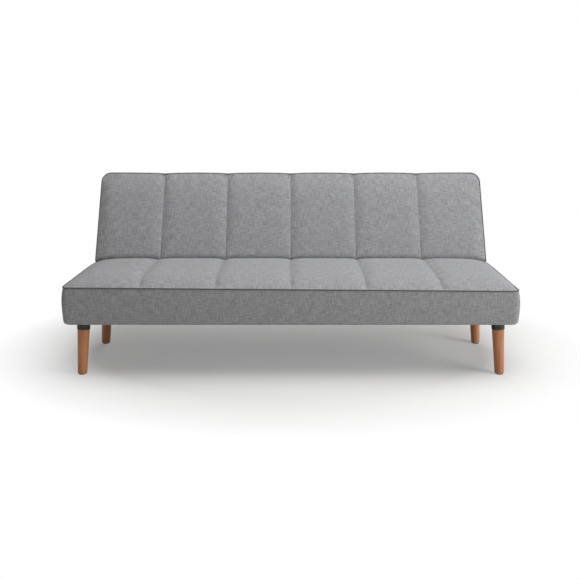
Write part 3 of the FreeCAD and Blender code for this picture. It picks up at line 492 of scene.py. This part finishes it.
def stuff(piece, pins, give, cap):
    """Cloth pressed out by the stuffing between its pinned seams, by at most the cap."""
    mesh = piece.data
    rest = np.zeros(len(mesh.vertices) * 3)
    mesh.vertices.foreach_get("co", rest)
    settled = 18
    sewn = piece.vertex_groups.new(name="sewn")
    sewn.add(sorted(pins), 1.0, "REPLACE")
    stuffing = piece.modifiers.new("stuffing", "CLOTH")
    cloth = stuffing.settings
    cloth.vertex_group_mass = "sewn"
    cloth.pin_stiffness = 1.0
    cloth.quality = 6
    cloth.mass = 0.25
    cloth.tension_stiffness = 12
    cloth.compression_stiffness = 12
    cloth.shear_stiffness = 4
    cloth.bending_stiffness = 0.25
    cloth.use_pressure = True
    cloth.uniform_pressure_force = 3.5
    cloth.shrink_min = -0.02
    cloth.effector_weights.gravity = 0
    stuffing.collision_settings.use_collision = False
    stuffing.collision_settings.use_self_collision = False
    scene = bpy.context.scene
    for step in range(1, settled + 1):
        scene.frame_set(step)
    pressed = piece.evaluated_get(bpy.context.evaluated_depsgraph_get())
    moved = np.zeros(len(rest))
    pressed.data.vertices.foreach_get("co", moved)
    piece.modifiers.remove(stuffing)
    piece.vertex_groups.remove(sewn)
    scene.frame_set(1)
    shift = (moved - rest).reshape(-1, 3)
    length = np.linalg.norm(shift, axis=1, keepdims=True)
    shift *= cap * np.tanh(length / cap) / np.maximum(length, 1e-9) * np.array(give)[:, None]
    mesh.vertices.foreach_set("co", (rest.reshape(-1, 3) + shift).ravel())
    mesh.update()


def build_panel(body, panel, shape):
    """A panel's cover, in place of the frame's cover and side wadding, and the foam slab under its top."""
    most_give = 0.0035
    cover_clear = 0.004
    cover = Cover(panel + "_upholstery", **shape)
    piece = cover.build()
    stuff(piece, cover.pins, cover.give, most_give)
    cover.mesh = piece.data
    finer = piece.modifiers.new("smooth", "SUBSURF")
    finer.levels = 1
    finer.render_levels = 1
    piece.data.materials.append(grey_weave)
    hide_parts(panel + "_cover", panel + "_side_wadding")
    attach(piece, body)

    inner = dict(shape, half=cover.half - cover_clear, far=cover.far - cover_clear,
                 corner=cover.corner - 0.003, crown=cover.crown - 0.0015)
    slab = Cover(panel + "_foam_slab", **inner)
    slab.near = 0.0125
    slab.edge = 0.0065
    slab.base = -0.0602
    block = slab.build()
    block.data.materials.append(cream_foam)
    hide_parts(panel + "_foam")
    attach(block, body)
    return cover


def soft_paint(name, light, dark, scale, height):
    """Fibres or cells, as many per metre as the scale says."""
    paint = Paint(name, Roughness=0.95, Specular_IOR_Level=0.15)
    place = paint.place()
    cells = paint.noise(place, scale, 3.0, 0.65)
    tint = paint.noise(place, 12.0, 2.0, 0.5)
    shade = cells.above(0.3, 0.7) * 0.7 + tint * 0.3
    paint.set(Base_Color=paint.between(shade, dark, light))
    paint.bump(cells, height)
    return paint.material


cream_foam = soft_paint("foam", (0.86, 0.82, 0.66), (0.7, 0.66, 0.5), 900.0, 0.0008)
seat = build_panel("seat", "seat", {
    "half": 0.8985, "far": 0.559, "corner": 0.025, "turn": 0, "scallop": 0.0, "pocket": 0.050,
    "crown": 0.0345, "end_run": 0.045, "rear_fall": 0.34, "flare": 0.0, "tilt": 0.0070,
    "dip": 0.006, "crease": 0.005, "bend": 0.012, "bend_drop": 0.0140})
back = build_panel("backrest", "back", {
    "half": 0.8935, "far": 0.4355, "corner": 0.042, "turn": 67, "scallop": 0.005, "pocket": 0.022,
    "crown": 0.020, "end_run": 0.024, "rear_fall": 0.0, "flare": 0.005, "tilt": 0.0,
    "dip": 0.006, "crease": 0.005, "bend": 0.008, "bend_drop": 0.008})


# Welts: the cover's own cloth folded over a thin cord, sewn into the seam between the top and the
# boxing, and coloured near black as painted shade for the shadowed groove along it. Each runs round
# both ends and the far edge, and its own ends are tucked in at the crevice.
def welt(cover, name, body, node):
    cord_radius = 0.0020
    stand_out, stand_up = 0.0008, 0.0004
    tuck = 0.015
    points = [cover.mesh.vertices[index].co.copy() for index in cover.welt]
    inside = Vector(cover.place(0, (cover.near + cover.far) / 2, 0.0))
    up = Vector(cover.place(0, 0, 1)) - Vector(cover.place(0, 0, 0))
    path = []
    for number, point in enumerate(points):
        before = points[max(number - 1, 0)]
        after = points[min(number + 1, len(points) - 1)]
        outward = (after - before).cross(up).normalized()
        if outward.dot(point - inside) < 0:
            outward = -outward
        path.append(point + outward * stand_out + up * stand_up)
    ends = []
    for end, beside in ((path[0], path[1]), (path[-1], path[-2])):
        ends.append(end + (end - beside).normalized() * tuck)
    path = [ends[0]] + path + [ends[1]]
    curve = bpy.data.curves.new(name, "CURVE")
    curve.dimensions = "3D"
    curve.bevel_depth = cord_radius
    curve.bevel_resolution = 3
    curve.use_fill_caps = True
    spline = curve.splines.new("POLY")
    spline.points.add(len(path) - 1)
    for knot, point in zip(spline.points, path):
        knot.co = (*point, 1)
    drawn = bpy.data.objects.new(name, curve)
    bpy.context.scene.collection.objects.link(drawn)
    bpy.context.view_layer.update()
    mesh = bpy.data.meshes.new_from_object(drawn)
    bpy.data.objects.remove(drawn)
    made = bpy.data.objects.new(name, mesh)
    bpy.context.scene.collection.objects.link(made)
    mesh.polygons.foreach_set("use_smooth", [True] * len(mesh.polygons))
    mesh.materials.append(welt_painted_shade)
    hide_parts(node)
    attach(made, body)


# The welt's colour is painted shade: near black, far darker than the grey cover cloth it is made of, standing in
# for the shadow beneath the welt.
welt_shade_paint = Paint("welt_painted_shade", Roughness=0.9, Specular_IOR_Level=0.2)
welt_place = welt_shade_paint.place()
strand = welt_shade_paint.noise(welt_place, 500.0, 2.0, 0.6)
welt_shade_paint.set(Base_Color=welt_shade_paint.between(strand.above(0.3, 0.7), (0.06, 0.06, 0.063),
                                           (0.13, 0.131, 0.135)))
welt_shade_paint.bump(strand, 0.0005)
welt_painted_shade = welt_shade_paint.material
welt(seat, "seat_welt_cord", "seat", "seat_welt")
welt(back, "back_welt_cord", "backrest", "back_welt")


# Dust covers: black spunbond cloth, cut to the frame, laid over the hems' edges and held by rows of
# wire staples. It closes each frame underneath, and sags a little between them.
def dust_cover(cover, name, body, node):
    set_in = 0.0295
    above_hem, sag = 0.0004, 0.0022
    near, far = cover.near + set_in, cover.far - set_in
    side = cover.half - set_in
    wide, deep = 96, 30
    points = []
    for i in range(wide + 1):
        for j in range(deep + 1):
            across, out = i / wide, j / deep
            x = side * (2 * across - 1)
            s = near + (far - near) * out
            slack = min(1, 9 * min(across, 1 - across)) * min(1, 4 * min(out, 1 - out))
            ripple = math.sin(41 * across + 3 * math.sin(5 * out)) * math.sin(7 * out + 9 * across)
            level = cover.base + above_hem - sag * slack * slack * (1 + 0.5 * ripple)
            points.append(cover.place(x, s, level))
    faces = [(a, a + 1, a + deep + 2, a + deep + 1)
             for i in range(wide) for a in range(i * (deep + 1), i * (deep + 1) + deep)]
    mesh = bpy.data.meshes.new(name)
    mesh.from_pydata(points, [], faces)
    mesh.polygons.foreach_set("use_smooth", [True] * len(faces))
    mesh.materials.append(dust_cloth)
    cloth = bpy.data.objects.new(name, mesh)
    bpy.context.scene.collection.objects.link(cloth)
    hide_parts(node)
    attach(cloth, body)

    pitch, from_edge, askew = 0.055, 0.006, 0.25
    crown_half, leg_inside, wire_half = 0.0054, 0.0045, 0.00045
    crown_height, leg_height = -0.0008, 0.0006
    staples = bmesh.new()
    spots = []
    for edge in (-1, 1):
        count = int(2 * side / pitch)
        s = near + from_edge if edge < 0 else far - from_edge
        spots += [((2 * (i + 0.5) / count - 1) * side, s, 0) for i in range(count)]
        count = int((far - near) / pitch)
        spots += [(edge * (side - from_edge), near + (far - near) * (i + 0.5) / count, math.pi / 2)
                  for i in range(count)]
    chance = random.Random(name)
    for x, s, turn in spots:
        angle = turn + chance.uniform(-askew, askew)
        for low, high, height in ((-crown_half, crown_half, crown_height),
                                  (-crown_half, -leg_inside, leg_height),
                                  (leg_inside, crown_half, leg_height)):
            corners = []
            for along in (low, high):
                for across in (-wire_half, wire_half):
                    for level in (height, 0):
                        corners.append(staples.verts.new(cover.place(
                            x + along * math.cos(angle) - across * math.sin(angle),
                            s + along * math.sin(angle) + across * math.cos(angle),
                            cover.base + level)))
            bmesh.ops.convex_hull(staples, input=corners)
    bmesh.ops.bevel(staples, geom=staples.edges[:], affect="EDGES", segments=1, offset=0.00012,
                    profile=0.5, material=-1)
    wire = bpy.data.meshes.new(cover.name + "_staples")
    staples.to_mesh(wire)
    staples.free()
    wires = bpy.data.objects.new(cover.name + "_staples", wire)
    bpy.context.scene.collection.objects.link(wires)
    wire.materials.append(zinc_steel)
    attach(wires, body)


def metal_paint(name, colour, rough, metallic=1.0):
    """Drawn or rolled steel, rubbed along its length and a little stained."""
    paint = Paint(name, Metallic=metallic)
    place = paint.place()
    rub = paint.noise(paint.stretched(place, 40, 900, 900), 1.0, 2.0, 0.5)
    stain = paint.noise(place, 60.0, 3.0, 0.6)
    paint.set(Base_Color=paint.between(stain.above(0.3, 0.8), colour,
                                       tuple(0.75 * c for c in colour)),
              Roughness=rub * 0.2 + (rough - 0.1))
    paint.bump(rub, 0.00008, 0.4)
    return paint.material


dust_cloth = soft_paint("dust_cloth", (0.035, 0.035, 0.037), (0.012, 0.012, 0.013), 600.0, 0.0003)
zinc_steel = metal_paint("zinc_steel", (0.62, 0.62, 0.6), 0.35)
dust_cover(seat, "seat_dust_sheet", "seat", "seat_dust_cover")
dust_cover(back, "back_dust_sheet", "backrest", "back_dust_cover")


# Legs: turned beech, stained a warm orange brown under satin varnish, each screwed up through a
# collar into the frame. The frames' rails and boards are plain softwood, sawn and left bare.
def wood_paint(name, pale, deep, rough):
    """Grain runs up the piece, with fine fibres in it and short dark flecks."""
    paint = Paint(name, Roughness=rough, Coat_Weight=0.25, Coat_Roughness=0.25)
    place = paint.place()
    grain = paint.noise(paint.stretched(place, 55, 55, 3.2), 1.0, 4.0, 0.6)
    fibre = paint.noise(paint.stretched(place, 900, 900, 22), 1.0, 2.0, 0.5)
    fleck = paint.noise(paint.stretched(place, 260, 260, 60), 1.0, 1.0, 0.5).above(0.62, 0.7)
    shade = grain.above(0.35, 0.65) * 0.7 + fibre * 0.45 - fleck * 0.2
    paint.set(Base_Color=paint.between(shade.sum("MAXIMUM", 0).sum("MINIMUM", 1), deep, pale))
    paint.bump(fibre, 0.0002, 0.4)
    return paint.material


warm_wood = wood_paint("warm_wood", (0.56, 0.225, 0.078), (0.31, 0.105, 0.031), 0.42)
frame_wood = wood_paint("frame_wood", (0.66, 0.5, 0.32), (0.5, 0.34, 0.19), 0.75)


# Collars and glides: moulded black plastic with a fine grain. The collars are pressed up against the
# frame round the legs' tops, and the nylon glides are knocked into their feet.
def plastic_paint(name, colour, rough):
    """Finely grained, and worn a little paler in places."""
    paint = Paint(name)
    place = paint.place()
    texture = paint.noise(place, 1400.0, 2.0, 0.6)
    wear = paint.noise(place, 45.0, 3.0, 0.6)
    paint.set(Base_Color=paint.between(wear.above(0.3, 0.8), colour,
                                       tuple(1.5 * c + 0.006 for c in colour)),
              Roughness=texture * 0.1 + wear * 0.12 + (rough - 0.1))
    paint.bump(texture, 0.0001, 0.5)
    return paint.material


black_plastic = plastic_paint("black_plastic", (0.012, 0.012, 0.013), 0.45)
glide_nylon = plastic_paint("glide_nylon", (0.03, 0.03, 0.03), 0.55)


# Hinges, springs and screws: the ratchet hinges' plates and pawls are pressed steel under black paint
# and the springs bare oiled wire. Rivets, pins, screws, bolts and inserts are zinc plated.
black_steel = metal_paint("black_steel", (0.03, 0.03, 0.033), 0.5, 0.3)
spring_steel = metal_paint("spring_steel", (0.32, 0.32, 0.34), 0.38)


# Stuffing inside the covers: white polyester wadding round the frames' sides, grey felt over the
# springs, and black elastic webbing stretched across the backrest's frame.
wadding = soft_paint("wadding", (0.88, 0.88, 0.88), (0.7, 0.7, 0.7), 300.0, 0.002)
felt = soft_paint("felt", (0.34, 0.34, 0.36), (0.22, 0.22, 0.23), 700.0, 0.0008)
webbing = soft_paint("elastic_webbing", (0.07, 0.07, 0.075), (0.03, 0.03, 0.03), 800.0, 0.0004)


# The pieces that keep the frame's shapes, from the rails to the rivets, each get the finish that
# their entry in the frame's list names.
finishes = {
    "grey_weave": grey_weave,
    "warm_wood": warm_wood,
    "frame_wood": frame_wood,
    "black_plastic": black_plastic,
    "glide_nylon": glide_nylon,
    "black_steel": black_steel,
    "spring_steel": spring_steel,
    "zinc_steel": zinc_steel,
    "foam": cream_foam,
    "wadding": wadding,
    "felt": felt,
    "elastic_webbing": webbing,
    "dust_cloth": dust_cloth,
}
slots = {entry["node"]: entry["material_slot"] for entry in frame["record"]["subparts"]}
for name, thing in frame["nodes"].items():
    thing.data.materials.clear()
    thing.data.materials.append(finishes[slots[name]])
